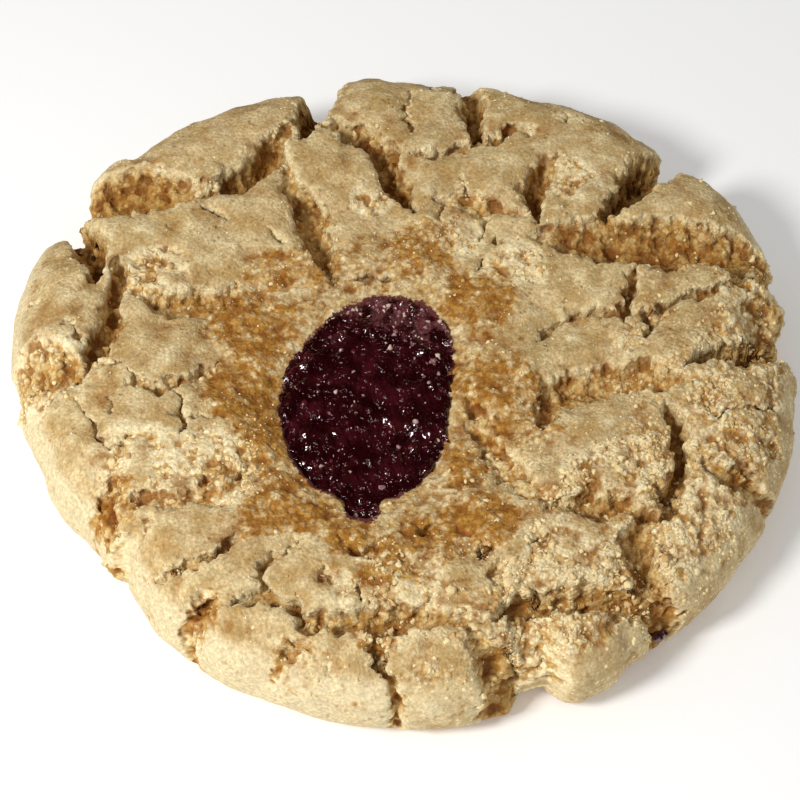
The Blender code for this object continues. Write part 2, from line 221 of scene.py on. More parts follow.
# Pits, hollows and raised lumps: (height, x, y, radius)
spots = (
    (-1, 15, 26, 0.8),
    (-1.6, 43.5, 9.5, 1.5),
    (-2.2, 47.5, 4.5, 4.5),
    (-1.5, -24.5, -23, 0.9),
    (-1, -31.5, -28.5, 0.9),
    (-1.5, -24.5, -40, 1.8),
    (-1.5, 45, -15.5, 1.2),
    (1.4, -26, 28, 2),
    (0.8, -38.2, 11.5, 2.2),
    (2.2, -12, 33, 4),
)

# Where the crust is broken away to pale crumb: (x, y, radius)
crumbly = (
    (-33, -20, 5.5),
    (-24, -21, 6),
    (-2, -39, 6.5),
    (17, -34, 5),
    (23, -36, 4),
    (23, -22, 4.5),
    (27, -20, 3),
    (37.5, -9.5, 3),
    (39.5, -16.5, 3),
    (33, -29, 4.5),
    (15.5, -44, 4),
    (14, 13, 4),
    (7.5, 18, 3),
    (22.5, 27, 3.5),
    (-33, 10, 4.5),
    (-46, -5, 5.5),
    (36, -27, 4),
    (-5, 25, 3),
)

# Toasted patches: (x, y, radius, strength)
toasted = (
    (-20.5, 3, 6.2, 1),
    (-18, 12, 4, 0.7),
    (-12, 14, 4, 0.6),
    (3, 17, 4.5, 0.6),
    (10, 7.5, 5, 0.8),
    (13, -7, 4.5, 0.8),
    (15, -13.5, 4.5, 0.6),
    (7.5, -5, 2.5, 0.6),
    (-20.5, -8, 5.6, 1),
    (-17.5, -15.5, 4, 0.8),
    (-16, -24, 3.5, 0.7),
    (-17, -28, 4, 1),
    (-12, -28, 3.5, 0.8),
    (-7.5, -31, 3, 0.7),
    (-2.5, -35, 3.5, 0.7),
    (3.5, -31, 4, 0.7),
    (9.5, -28, 4.5, 1),
    (7, -20, 3, 0.5),
    (-35.5, -25.5, 3.5, 0.8),
    (-24, -40.5, 2.5, 0.8),
    (-13.5, -46, 2.6, 0.5),
    (-3.5, -44.5, 2.5, 0.7),
    (25.5, -27, 4, 0.4),
)

# Jam: an egg-shaped pool, its tip leaning right, with a small run of jam at the front
jam = {
    "centre": (-5.4, -8.2),
    "halfWidth": 10.5,
    "halfLength": 16.4,
    "squareness": 2.15,
    "lean": 3.0,
    "run": 3.3,
    "runSpread": 0.21,
    "level": 11.7,
    "dome": 0.35,
    "depth": 5.5,
    "bowl": 2.6,
    "spread": 0.9,
    "subdivisions": 7,
    "gap": 0.35,
    "intoWall": 0.6,
    "ragged": (1.3, 0.022, 71.0),
    "wellDepth": 5.0,
    "wellSharpness": 12,
    "stainSharpness": 13,
    "dip": 1.3,
    "dipReach": 4.5,
    "fruit": (2.2, 0.35, 4.2),
    "pulp": ((1.1, 0.2, 7.9), (0.5, 0.1, 15.3)),
    "gel": ((1.9, 0.5, 41.0), (0.8, 0.26, 43.0)),
    "gelWarp": ((1.2, 0.5, 51.0), (1.2, 0.5, 53.0), (1.2, 0.5, 55.0)),
    "dustLumps": (2.4, 0.5, 61.0),
    "fringe": ((1.6, 0.5, 19.0), (0.6, 0.3, 23.0)),
}


def smooth(value):
    value = np.clip(value, 0, 1)
    return value * value * (3 - 2 * value)


def lumps(points, kind):  # height at each point of this kind of unevenness
    size, height, shift = kind
    places = (points / size + shift).tolist()
    return biscuit["noiseRange"] * height * np.array([noise.noise(place) for place in places])


def clumps(points, kind):  # rounded crumbs pressed together, highest in their middles
    size, height, shift = kind
    places = (points / size + shift).tolist()
    away = np.array([noise.voronoi(place)[0][0] for place in places])
    return height * (0.5 - 1.3 * away**1.5)


def crumbRelief(points):  # uneven crumb of the broken faces, drawn in all three directions
    warp = lumps(points, biscuit["clumpWarp"])[:, None]
    found = clumps(points + warp, biscuit["clumps"])
    for kind in biscuit["crumbGrain"]:
        found += lumps(points, kind)
    return found


def meridian():  # radius and height, from the middle of the top to the middle of the base
    flatRadius = biscuit["rimRadius"] - biscuit["shoulder"]
    rimRadius, waist, crown = biscuit["rimRadius"], biscuit["waistHeight"], biscuit["crown"]
    middle, heel = biscuit["middleHeight"], biscuit["heel"]
    topRadius = np.linspace(0, flatRadius, biscuit["topSteps"])
    span = biscuit["crownRadius"] - biscuit["middleRadius"]
    topHeight = middle + (crown - middle) * smooth((topRadius - biscuit["middleRadius"]) / span)
    turn = np.linspace(math.pi / 2, 0, biscuit["turnSteps"])[1:]
    shoulderRadius = flatRadius + biscuit["shoulder"] * np.cos(turn)
    shoulderHeight = waist + (crown - waist) * np.sin(turn)
    heelRadius = rimRadius - heel + heel * np.cos(turn[::-1])
    heelHeight = waist * (1 - np.sin(turn[::-1]))
    baseRadius = np.linspace(rimRadius - heel, 0, biscuit["baseSteps"])
    radius = np.concatenate([topRadius, shoulderRadius, heelRadius, baseRadius])
    height = np.concatenate([topHeight, shoulderHeight, heelHeight, 0 * baseRadius])
    return radius, height


def rimRadiusAt(angle):
    radius = np.full(len(angle), biscuit["rimRadius"])
    for count, height, crest in rimWaves:
        radius += height * np.cos(count * (angle - math.radians(crest)))
    for middle, height, reach in rimSpots:
        away = np.degrees(angle) - middle
        away = np.abs((away + 180) % 360 - 180)
        radius += height * smooth(1.5 * (1 - away / reach))
    return radius


def icosphere(name, subdivisions):
    sphere = bmesh.new()
    bmesh.ops.create_icosphere(sphere, subdivisions=subdivisions, radius=1)
    mesh = bpy.data.meshes.new(name)
    sphere.to_mesh(mesh)
    sphere.free()
    mesh.shade_smooth()
    return mesh


def readPoints(mesh, what="co"):
    found = np.zeros(3 * len(mesh.vertices), np.float32)
    mesh.vertices.foreach_get(what, found)
    return found.reshape(-1, 3).astype(float)


def movePoints(mesh, points):  # points in millimetres
    mesh.vertices.foreach_set("co", (points * mm).ravel().astype(np.float32))
    mesh.update()


def onBlank(directions):  # points on the blank, and how far each one faces up and out
    radius, height = meridian()
    length = np.hypot(np.diff(radius), np.diff(height))
    density = np.where(height[1:] > 0, 1.0, biscuit["baseDensity"])
    area = np.concatenate([[0], np.cumsum(length * density * (radius[1:] + radius[:-1]) / 2)])
    share = (1 - directions[:, 2]) / 2 * area[-1]
    angle = np.arctan2(directions[:, 1], directions[:, 0])
    atRadius = np.interp(share, area, radius)
    atHeight = np.interp(share, area, height)
    reach = atRadius * rimRadiusAt(angle) / biscuit["rimRadius"]
    points = np.stack([reach * np.cos(angle), reach * np.sin(angle), atHeight], 1)
    out = smooth((atRadius - biscuit["rimRadius"] + biscuit["shoulder"]) / biscuit["shoulder"])
    up = np.where(atHeight >= biscuit["waistHeight"], np.sqrt(1 - out * out), 0)
    return points, up, out


def jamOutline(angle, grow):  # plan offset from the jam's centre to its edge
    power = 2 / jam["squareness"]
    halfWidth, halfLength = jam["halfWidth"] + grow, jam["halfLength"] + grow
    across = np.sign(np.cos(angle)) * np.abs(np.cos(angle)) ** power * halfWidth
    run = jam["run"] * np.exp(-((np.cos(angle) / jam["runSpread"]) ** 6))
    length = halfLength + np.where(np.sin(angle) < 0, run, 0)
    along = np.sign(np.sin(angle)) * np.abs(np.sin(angle)) ** power * length
    lean = jam["lean"] * smooth(along / jam["halfLength"])
    return across + lean, along


def jamDistance(points):  # rough distance outside the jam's edge, negative inside
    x = points[:, 0] - jam["centre"][0]
    y = points[:, 1] - jam["centre"][1]
    x = x - jam["lean"] * smooth(y / jam["halfLength"])
    beyond = np.hypot(x / jam["halfWidth"], y / jam["halfLength"]) - 1
    return beyond * (jam["halfWidth"] + jam["halfLength"]) / 2


def jamSpan(points):  # share of the way from the jam's centre to its true edge
    x = points[:, 0] - jam["centre"][0]
    y = points[:, 1] - jam["centre"][1]
    x = x - jam["lean"] * smooth(y / jam["halfLength"])
    power = jam["squareness"]
    across, along = x / jam["halfWidth"], y / jam["halfLength"]
    reach = (np.abs(across) ** power + np.abs(along) ** power) ** (1 / power)
    angle = np.arctan2(along, across)
    run = jam["run"] * np.exp(-((np.cos(angle) / jam["runSpread"]) ** 6)) * (y < 0)
    return reach / (1 + run / jam["halfLength"])


def crackLine(start, middle, end):  # points along the curve that passes through the three
    start, middle, end = (np.array(point, float) for point in (start, middle, end))
    along = np.linspace(0, 1, crackForm["linePieces"] + 1)[:, None]
    handle = 2 * middle - (start + end) / 2
    return (1 - along) ** 2 * start + 2 * along * (1 - along) * handle + along**2 * end


def besideLine(plan, line):  # distance from the line, side of it, and distance from its ends
    nearest = np.full(len(plan), np.inf)
    side = np.ones(len(plan))
    place = np.zeros(len(plan))
    travelled = 0.0
    for start, end in zip(line[:-1], line[1:]):
        run = end - start
        length = np.hypot(*run)
        offset = plan - start
        along = np.clip(offset @ run / length**2, 0, 1)
        distance = np.hypot(*(offset - along[:, None] * run).T)
        closer = distance < nearest
        nearest = np.where(closer, distance, nearest)
        side = np.where(closer, np.sign(run[0] * offset[:, 1] - run[1] * offset[:, 0]), side)
        place = np.where(closer, travelled + along * length, place)
        travelled += length
    return nearest, side, np.minimum(place, travelled - place)


def raggedPlan(points):
    plan = points[:, :2].copy()
    for across, along in zip(biscuit["raggedAcross"], biscuit["raggedAlong"]):
        plan += np.stack([lumps(points, across), lumps(points, along)], 1)
    return plan


def crackRelief(plan):  # how far each point sinks, how far the rim draws in, and lift by steps
    sunk, bitten, lifted, rounded = np.zeros((4, len(plan)))
    start, bend = crackForm["wallStart"], crackForm["wallBend"]
    fine = [(depth, 0.0, left, right, 0.0, *ends) for depth, left, right, *ends in hairlines]
    for depth, bite, left, right, step, *ends in (*cracks, *fine):
        line = crackLine(*ends)
        margin = crackForm["margin"] + max(left, right) + 5 * crackForm["stepReach"] * (step > 0)
        near = np.all((plan > line.min(0) - margin) & (plan < line.max(0) + margin), 1)
        distance, side, fromEnd = besideLine(plan[near], line)
        taper = smooth(crackForm["endWidth"] + fromEnd / (2 * (left + right)))
        across = distance / (np.where(side > 0, left, right) * taper)
        wall = 1 - np.clip((across - start) / (1 - start), 0, 1) ** bend
        sunk[near] = np.maximum(sunk[near], depth * taper * wall)
        bitten[near] = np.maximum(bitten[near], bite * wall)
        gap = np.clip(distance - np.where(side > 0, left, right) * taper, 0, None)
        fading = np.exp(-((gap / biscuit["pillowReach"]) ** 1.3))
        rounded[near] = np.maximum(rounded[near], biscuit["pillow"] * math.sqrt(depth) * taper * fading)
        if step:
            fading = np.exp(-distance / crackForm["stepReach"]) * smooth(fromEnd / left)
            lifted[near] += step / 2 * np.tanh(side * distance) * fading
    return sunk, bitten, lifted, rounded


def patches(plan, rows):  # strongest of the round patches at each point
    found = np.zeros(len(plan))
    for x, y, radius, *strength in rows:
        away = np.hypot(plan[:, 0] - x, plan[:, 1] - y) / radius
        found = np.maximum(found, (strength or [1.0])[0] * smooth(1.6 * (1.25 - away)))
    return found


def shapeBiscuit(directions):  # points of the biscuit, and masks for its relief and colours
    points, up, out = onBlank(directions)
    aboveBase = smooth(points[:, 2] / biscuit["waistHeight"])
    plan = raggedPlan(points)
    sunk, bitten, lifted, rounded = crackRelief(plan)
    raised = np.zeros(len(points))
    for height, x, y, radius in spots:
        away = np.hypot(plan[:, 0] - x, plan[:, 1] - y) / (biscuit["spotSpread"] * radius)
        raised += height * smooth(1.5 * (1 - away))
    dip = np.exp(-np.clip(jamDistance(points), 0, None) / jam["dipReach"])
    flakes = biscuit["flakeShare"] + biscuit["flakeContrast"] * lumps(points, biscuit["flakeLumps"])
    flaked = patches(plan, crumbly) * smooth(flakes)
    broken = np.maximum(smooth(sunk / biscuit["brokenFrom"]), flaked) * (points[:, 2] > 1)
    broken = np.maximum(broken, smooth(-raised / biscuit["pitFrom"]))
    relief = lumps(points, biscuit["swell"]) + lumps(points, biscuit["crust"])
    relief = relief + smooth(sunk) * lumps(points, biscuit["crumb"])
    relief = relief * (1 - dip) - jam["dip"] * dip - biscuit["lip"] * broken - rounded + biscuit["lift"]
    span = jamSpan(points) + lumps(points, jam["ragged"])
    well = smooth((1 - span) * jam["wellSharpness"])
    rimRelief = bitten + biscuit["rimRounding"] * rounded + lumps(points, biscuit["rimCrust"])
    radius = np.maximum(np.hypot(points[:, 0], points[:, 1]), 1)
    points[:, :2] *= (1 - out * aboveBase * rimRelief / radius)[:, None]
    points[:, 2] += up * aboveBase * (relief + lifted + raised - sunk) - (up > 0) * well * jam["wellDepth"]
    fromJam = jamDistance(points)
    ring = smooth((fromJam + 1) / 2) * (1 - smooth((fromJam - biscuit["ringEnd"]) / biscuit["ringFade"]))
    toast = patches(plan, toasted) * biscuit["patchToast"] + biscuit["ringToast"] * ring
    masks = {
        "broken": broken,
        "drop": sunk + 0.8 * rounded + 0.3 * broken - raised,
        "toast": np.clip(toast, 0, 1),
        "stain": np.clip(1.02 - np.abs(span - 1) * jam["stainSharpness"], 0, 1) * (up > 0),
        "rim": smooth((0.6 - up) / 0.3) * (out > 0.1),
        "well": well,
        "open": smooth((span - 1.03) * 30) * (up > 0),
        "flaked": flaked,
    }
    return points, masks


def relaxed(mesh, points, masks):  # spreads the vertices over steep walls, masks with them
    count = len(points)
    ends = np.zeros(2 * len(mesh.edges), np.int32)
    mesh.edges.foreach_get("vertices", ends)
    first, second = ends[0::2], ends[1::2]
    degree = np.bincount(first, minlength=count) + np.bincount(second, minlength=count)

    def around(values):
        return np.bincount(first, values[second], count) + np.bincount(second, values[first], count)

    columns = np.column_stack([points] + list(masks.values()))
    for turn in range(biscuit["relaxTurns"]):
        movePoints(mesh, columns[:, :3])
        normals = readPoints(mesh, "normal")
        length = np.linalg.norm(columns[first, :3] - columns[second, :3], axis=1)
        longest = np.zeros(count)
        np.maximum.at(longest, first, length)
        np.maximum.at(longest, second, length)
        share = biscuit["relaxShare"] * smooth((longest - biscuit["relaxFrom"]) / biscuit["relaxOver"])
        moved = np.column_stack([around(column) for column in columns.T]) / degree[:, None] - columns
        moved[:, :3] -= normals * (moved[:, :3] * normals).sum(1)[:, None]
        columns += moved * share[:, None]
    return columns[:, :3], {name: columns[:, 3 + index] for index, name in enumerate(masks)}


def setAttribute(mesh, name, values):
    attribute = mesh.attributes.new(name, "FLOAT", "POINT")
    attribute.data.foreach_set("value", np.asarray(values, np.float32))


def addObject(name, mesh, material=None):
    made = bpy.data.objects.new(name, mesh)
    bpy.context.scene.collection.objects.link(made)
    if material:
        mesh.materials.clear()
        mesh.materials.append(material)
    return made


def applied(piece):  # the piece's evaluated mesh, with its modifiers taken off
    depsgraph = bpy.context.evaluated_depsgraph_get()
    mesh = bpy.data.meshes.new_from_object(piece.evaluated_get(depsgraph), depsgraph=depsgraph)
    piece.modifiers.clear()
    return mesh


# Shader helpers
def tint(red, green, blue):  # a colour as seen on a screen, 0 to 255, as Blender wants it
    return tuple(((c / 255 + 0.055) / 1.055) ** 2.4 for c in (red, green, blue)) + (1.0,)


def addNode(tree, kind, values=None, **settings):
    made = tree.nodes.new(kind)
    for key, value in settings.items():
        setattr(made, key, value)
    for key, value in (values or {}).items():
        if isinstance(value, bpy.types.NodeSocket):
            tree.links.new(value, made.inputs[key])
        else:
            made.inputs[key].default_value = value
    return made


def blendColour(tree, share, first, second, way="MIX"):
    values = {0: share, 6: first, 7: second}
    return addNode(tree, "ShaderNodeMix", values, data_type="RGBA", blend_type=way).outputs[2]


def ramp(tree, value, low, high, toLow=0.0, toHigh=1.0):
    values = {"Value": value, "From Min": low, "From Max": high, "To Min": toLow, "To Max": toHigh}
    return addNode(tree, "ShaderNodeMapRange", values, interpolation_type="SMOOTHSTEP").outputs[0]


def sums(tree, way, first, second):
    return addNode(tree, "ShaderNodeMath", {0: first, 1: second}, operation=way).outputs[0]


def product(tree, first, *others):
    for other in others:
        first = sums(tree, "MULTIPLY", first, other)
    return first


def total(tree, first, second):
    return sums(tree, "ADD", first, second)


def shaded(tree, colour, light):  # the colour made lighter or darker
    grey = addNode(tree, "ShaderNodeCombineColor", {0: light, 1: light, 2: light})
    return blendColour(tree, 1.0, colour, grey.outputs[0], "MULTIPLY")


def cellsAt(tree, place, size):  # distance from the middle of each cell, and two values per cell
    cells = addNode(tree, "ShaderNodeTexVoronoi", {"Vector": place, "Scale": 1 / (size * mm)})
    pick = addNode(tree, "ShaderNodeSeparateColor", {0: cells.outputs["Color"]})
    return cells.outputs["Distance"], pick.outputs[0], pick.outputs[1]


def read(tree, name):
    return addNode(tree, "ShaderNodeAttribute", attribute_name=name).outputs["Fac"]


def noiseAt(tree, place, size, detail=3.0):
    values = {"Vector": place, "Scale": 1 / (size * mm), "Detail": detail, "Roughness": 0.55}
    return addNode(tree, "ShaderNodeTexNoise", values).outputs[0]


def addSockets(tree, inOut, kind, *labels):
    for label in labels:
        tree.interface.new_socket(label, in_out=inOut, socket_type="NodeSocket" + kind)


grainForm = {
    "mottleScale": 320.0,  # per metre
    "mottleDetail": 4.0,
    "grainDetail": 1.5,
    "grainRoughness": 0.6,
    "poreEdge": (0.12, 0.32),
    "poreField": 2.3,  # millimetres
    "poreShare": (0.52, 0.62),
}


def grainGroup():  # mottling, grain and pores that the materials share
    tree = bpy.data.node_groups.new("bakedGrain", "ShaderNodeTree")
    addSockets(tree, "INPUT", "Vector", "Place")
    addSockets(tree, "INPUT", "Float", "Grains", "Pores")
    addSockets(tree, "OUTPUT", "Float", "Mottle", "Grain", "Pore", "Height")
    place, grains, pores = addNode(tree, "NodeGroupInput").outputs[:3]
    mottle = addNode(tree, "ShaderNodeTexNoise", {
        "Vector": place,
        "Scale": grainForm["mottleScale"],
        "Detail": grainForm["mottleDetail"],
    })
    grain = addNode(tree, "ShaderNodeTexNoise", {
        "Vector": place,
        "Scale": grains,
        "Detail": grainForm["grainDetail"],
        "Roughness": grainForm["grainRoughness"],
    })
    cells = addNode(tree, "ShaderNodeTexVoronoi", {"Vector": place, "Scale": pores})
    pore = ramp(tree, cells.outputs["Distance"], *grainForm["poreEdge"], 1.0, 0.0)
    pick = ramp(tree, noiseAt(tree, place, grainForm["poreField"], 1.0), *grainForm["poreShare"])
    pore = product(tree, pore, pick)
    height = sums(tree, "SUBTRACT", grain.outputs[0], pore)
    result = {"Mottle": mottle.outputs[0], "Grain": grain.outputs[0], "Pore": pore, "Height": height}
    addNode(tree, "NodeGroupOutput", result)
    return tree


def paint(name, grain, grains, pores):  # a new material, with its tree, shader, place and grain
    made = bpy.data.materials.new(name)
    made.use_nodes = True
    tree = made.node_tree
    place = addNode(tree, "ShaderNodeTexCoord").outputs["Object"]
    group = addNode(tree, "ShaderNodeGroup", node_tree=grain)
    tree.links.new(place, group.inputs["Place"])
    group.inputs["Grains"].default_value = grains
    group.inputs["Pores"].default_value = pores
    return made, tree, tree.nodes["Principled BSDF"], place, group.outputs


def addBump(tree, shader, height, strength, distance):
    bump = addNode(tree, "ShaderNodeBump", {"Strength": strength, "Distance": distance, "Height": height})
    tree.links.new(bump.outputs[0], shader.inputs["Normal"])


crustFinish = {
    "crust": tint(187, 156, 101),
    "crustPale": tint(223, 201, 152),
    "crustBrown": tint(174, 138, 86),
    "crumbPale": tint(250, 235, 190),
    "crumbGold": tint(212, 172, 100),
    # Painted shade: the brown put into crumb gaps, pits of the relief, gaps between dots and pores
    "hollowShade": tint(160, 110, 50),
    "lowShade": (0.81, 0.7, 0.51, 1.0),
    "deepShade": (0.7, 0.57, 0.38, 1.0),
    "toastShade": (0.58, 0.36, 0.11, 1.0),
    "rim": tint(224, 206, 164),
    "base": tint(178, 124, 66),
    "stain": tint(96, 44, 40),
    "roughness": 0.85,
    "specular": 0.25,
    "grains": 2600,  # per metre
    "pores": 900,
    "patchSize": 6.0,
    "patchShare": 0.3,
    "crumbSize": 0.75,
    "dotSize": 0.42,
    "cloudSize": 3.0,
    "cloudDepth": 3.5,
    "scorchSizes": (2.6, 0.9),
    "scorchUneven": 2.2,
    "scorchSpared": 0.3,  # how much less the tips are toasted, and more the pits: a painted highlight and painted shade that follow the relief
    "bumpStrength": 0.5,
    "bumpDistance": 0.35 * mm,
}


def crustMaterial(grain):
    colours = crustFinish
    made, tree, shader, place, given = paint("bakedCrust", grain, colours["grains"], colours["pores"])
    mottle, speck = given["Mottle"], given["Grain"]
    broken, drop, toast, fine = (read(tree, name) for name in ("broken", "drop", "toast", "fine"))
    rough, sandy, rim = (read(tree, name) for name in ("rough", "sandy", "rim"))

    # Sound crust: mottled, browner in patches, paler on the rim
    crust = blendColour(tree, ramp(tree, mottle, 0.35, 0.68), colours["crust"], colours["crustPale"])
    patchy = ramp(tree, noiseAt(tree, place, colours["patchSize"]), 0.45, 0.7)
    crust = blendColour(tree, product(tree, patchy, colours["patchShare"]), crust, colours["crustBrown"])
    paleRim = product(tree, rim, ramp(tree, sandy, 0.2, 1.0, 1.0, 0.2))
    crust = blendColour(tree, paleRim, crust, colours["rim"])

    # Crumb: pale and golden lumps, with painted shade in the gaps between them
    away, pick, _ = cellsAt(tree, place, colours["crumbSize"])
    crumb = blendColour(tree, ramp(tree, pick, 0.1, 0.9), colours["crumbPale"], colours["crumbGold"])
    crumb = blendColour(tree, product(tree, ramp(tree, away, 0.4, 0.75), 0.6), crumb, colours["hollowShade"])
    specks = product(tree, ramp(tree, away, 0.35, 0.2), ramp(tree, pick, 0.45, 0.6))
    specks = product(tree, specks, total(tree, product(tree, sandy, 0.6), 0.2))
    crust = blendColour(tree, specks, crust, colours["crumbPale"])
    mixed = blendColour(tree, ramp(tree, rough, 0.3, 0.75), crust, crumb)

    # Pale broken edges; painted highlight on the tips and painted shade in the pits of the fine relief
    brink = product(tree, broken, sums(tree, "SUBTRACT", 1.0, broken))
    mixed = blendColour(tree, ramp(tree, brink, 0.04, 0.2, 0.0, 0.55), mixed, colours["crumbPale"])
    tipHighlight = product(tree, ramp(tree, fine, 0.05, 0.35, 0.0, 0.7), ramp(tree, toast, 0.15, 0.8, 1.0, 0.08))
    mixed = blendColour(tree, tipHighlight, mixed, colours["crumbPale"])
    mixed = blendColour(tree, ramp(tree, fine, 0.0, -0.35, 0.0, 0.85), mixed, colours["hollowShade"])

    # Painted shade: deeper places are darker, unevenly
    cloud = sums(tree, "SUBTRACT", noiseAt(tree, place, colours["cloudSize"]), 0.5)
    low = ramp(tree, total(tree, drop, product(tree, cloud, colours["cloudDepth"])), 0.4, 2.6)
    mixed = blendColour(tree, low, mixed, colours["lowShade"], "MULTIPLY")
    mixed = blendColour(tree, ramp(tree, drop, 1.8, 5.0), mixed, colours["deepShade"], "MULTIPLY")

    # Toasting
    large, small = (noiseAt(tree, place, size) for size in colours["scorchSizes"])
    uneven = product(tree, sums(tree, "SUBTRACT", total(tree, large, small), 1.0), colours["scorchUneven"])
    uneven = sums(tree, "SUBTRACT", uneven, product(tree, fine, colours["scorchSpared"]))
    scorch = ramp(tree, total(tree, toast, uneven), 0.18, 1.1)
    mixed = blendColour(tree, scorch, mixed, colours["toastShade"], "MULTIPLY")

    # Fine dots, grain and pores, with painted shade in the gaps between the dots and in the pores
    dotAway, _, dotShade = cellsAt(tree, place, colours["dotSize"])
    gapShade = product(tree, ramp(tree, dotAway, 0.42, 0.75), ramp(tree, mottle, 0.35, 0.65, 0.15, 0.5))
    gapShade = product(tree, gapShade, ramp(tree, sandy, 0.0, 1.0, 0.55, 1.0), ramp(tree, rim, 0.1, 0.9, 1.0, 0.2))
    mixed = blendColour(tree, gapShade, mixed, colours["hollowShade"])
    light = product(tree, ramp(tree, speck, 0.3, 0.7, 0.84, 1.1), ramp(tree, dotShade, 0.0, 1.0, 0.9, 1.1))
    mixed = shaded(tree, mixed, light)
    mixed = blendColour(tree, product(tree, given["Pore"], 0.5), mixed, colours["hollowShade"])

    # Toasted base, and jam soaked into the well's edge
    mixed = blendColour(tree, read(tree, "under"), mixed, colours["base"])
    stain = ramp(tree, total(tree, read(tree, "stain"), speck), 1.0, 1.25)
    mixed = blendColour(tree, stain, mixed, colours["stain"])
    tree.links.new(mixed, shader.inputs["Base Color"])
    shader.inputs["Roughness"].default_value = colours["roughness"]
    shader.inputs["Specular IOR Level"].default_value = colours["specular"]
    sand = product(tree, dotAway, total(tree, product(tree, sandy, 0.5), 0.35))
    height = sums(tree, "SUBTRACT", given["Height"], total(tree, product(tree, away, rough), sand))
    height = product(tree, height, ramp(tree, rim, 0.1, 0.9, 1.0, 0.25))
    addBump(tree, shader, height, colours["bumpStrength"], colours["bumpDistance"])
    return made


def underCeiling(height):  # heights eased down so that none passes the highest one allowed
    ease = biscuit["ceilingSoftness"]
    start = biscuit["ceiling"] - ease
    return np.where(height > start, start + ease * np.tanh((height - start) / ease), height)


keptMasks = (
    "broken", "drop", "toast", "stain", "rim", "under",
    "fine", "rough", "sandy", "sugarMask", "grainMask", "crumbMask",
)


def makeBiscuit(material):
    mesh = icosphere("bakedCookie", biscuit["subdivisions"])
    points, masks = shapeBiscuit(readPoints(mesh))
    points, masks = relaxed(mesh, points, masks)
    print("biscuit's rim, cracks and well shaped")

    # Fine relief, pushed out along the surface
    broken, rim = masks["broken"], masks["rim"]
    start, reach = biscuit["sandy"]
    fromLeft = points[:, 0] - biscuit["sandyTurn"] * points[:, 1] + start
    sandy = smooth(fromLeft / reach + lumps(points, biscuit["sandyEdge"]))
    grain = sum(lumps(points, kind) for kind in biscuit["crustRelief"]) * (1 - 0.6 * rim)
    grain += biscuit["sandHeight"] * sandy * (1 - rim) * clumps(points, biscuit["sandGrain"])
    rough = np.maximum.reduce([
        broken,
        biscuit["roughRing"] * smooth(2.2 * masks["toast"]),
        biscuit["roughSand"] * sandy,
        np.full(len(points), biscuit["roughness"]),
    ]) * (1 - 0.75 * rim * (1 - broken))
    fine = (1 - rough) * grain + rough * crumbRelief(points)
    fine *= smooth((points[:, 2] - 0.5) / 3) * (1 - masks["well"])
    movePoints(mesh, points)
    points += readPoints(mesh, "normal") * fine[:, None]
    points[:, 2] = underCeiling(np.maximum(points[:, 2], 0))
    movePoints(mesh, points)
    masks.update(sandy=sandy, fine=fine, rough=rough, under=smooth((1.2 - points[:, 2]) / 1.2))
    print("biscuit's crumb relief")

    # Where loose sugar and crumbs lie: in clusters, more on the sandy side and along broken edges
    facing = np.clip(readPoints(mesh, "normal")[:, 2], 0, 1)
    edge = smooth(broken * (1 - broken) * 4)
    cluster = smooth(0.4 + 2.0 * lumps(points, biscuit["clusters"]))
    shown = masks["open"] * smooth((points[:, 2] - 2) / 2)
    shown = shown * smooth((biscuit["looseCeiling"] - points[:, 2]) / 0.3)
    masks["sugarMask"] = shown * facing * (1 - broken) * (0.06 + 0.2 * cluster + 0.4 * sandy * cluster)
    edgeGrains = edge * (masks["drop"] < 2.0) * cluster * (0.6 + 1.6 * sandy)
    masks["grainMask"] = shown * facing * (0.06 * cluster + 0.8 * sandy * cluster + edgeGrains)
    shown = shown * smooth((facing - 0.4) / 0.3)
    loose = 0.08 * broken * (masks["drop"] < 2) + masks["flaked"] + 0.5 * sandy * cluster + 0.5 * edge * sandy
    masks["crumbMask"] = shown * (0.2 + facing) * loose * (0.25 + 0.75 * cluster)
    for name in keptMasks:
        setAttribute(mesh, name, masks[name])
    made = addObject("bakedCookie", mesh, material)
    thin = made.modifiers.new("Thin", "DECIMATE")
    thin.ratio = biscuit["triangles"] / len(mesh.polygons)
    made.data = applied(made)
    print("biscuit done:", len(made.data.polygons), "triangles")
    return made


def shapeJam(directions):
    angle = np.arctan2(directions[:, 1], directions[:, 0])
    across, along = jamOutline(angle, jam["gap"] + jam["intoWall"] * 0.4)
    reach = np.hypot(directions[:, 0], directions[:, 1]) ** jam["spread"]
    bowl = np.sqrt(np.clip(1 - reach ** jam["bowl"], 0, 1))
    x, y = jam["centre"]
    points = np.stack([x + across * reach, y + along * reach, 0 * reach], 1)
    pulp = sum(lumps(points, kind) for kind in (jam["fruit"], *jam["pulp"]))
    warped = points + np.stack([lumps(points, kind) for kind in jam["gelWarp"]], 1)
    pulp += sum(clumps(warped, kind) for kind in jam["gel"])
    top = jam["level"] + bowl * jam["dome"] + smooth(3 * bowl) * pulp
    bottom = jam["level"] - bowl * jam["depth"]
    points[:, 2] = np.where(directions[:, 2] > 0, top, bottom)
    fringe = sum(lumps(points, kind) for kind in jam["fringe"])
    points[:, :2] += (points[:, :2] - np.array(jam["centre"])) / 14 * (fringe * reach**6)[:, None]
    return points, reach


jamFinish = {
    "dark": tint(38, 2, 6),
    "fruit": tint(68, 17, 24),
    "dry": tint(100, 46, 50),
    "roughness": 0.14,
    "dryRoughness": 0.5,
    "specular": 0.3,
    "coat": 0.85,
    "coatIndex": 1.65,
    "coatRoughness": 0.025,
    "grains": 1500,  # per metre
    "pores": 700,
    "ridges": 720.0,
    "bumpStrength": 0.75,
    "bumpDistance": 0.8 * mm,
}


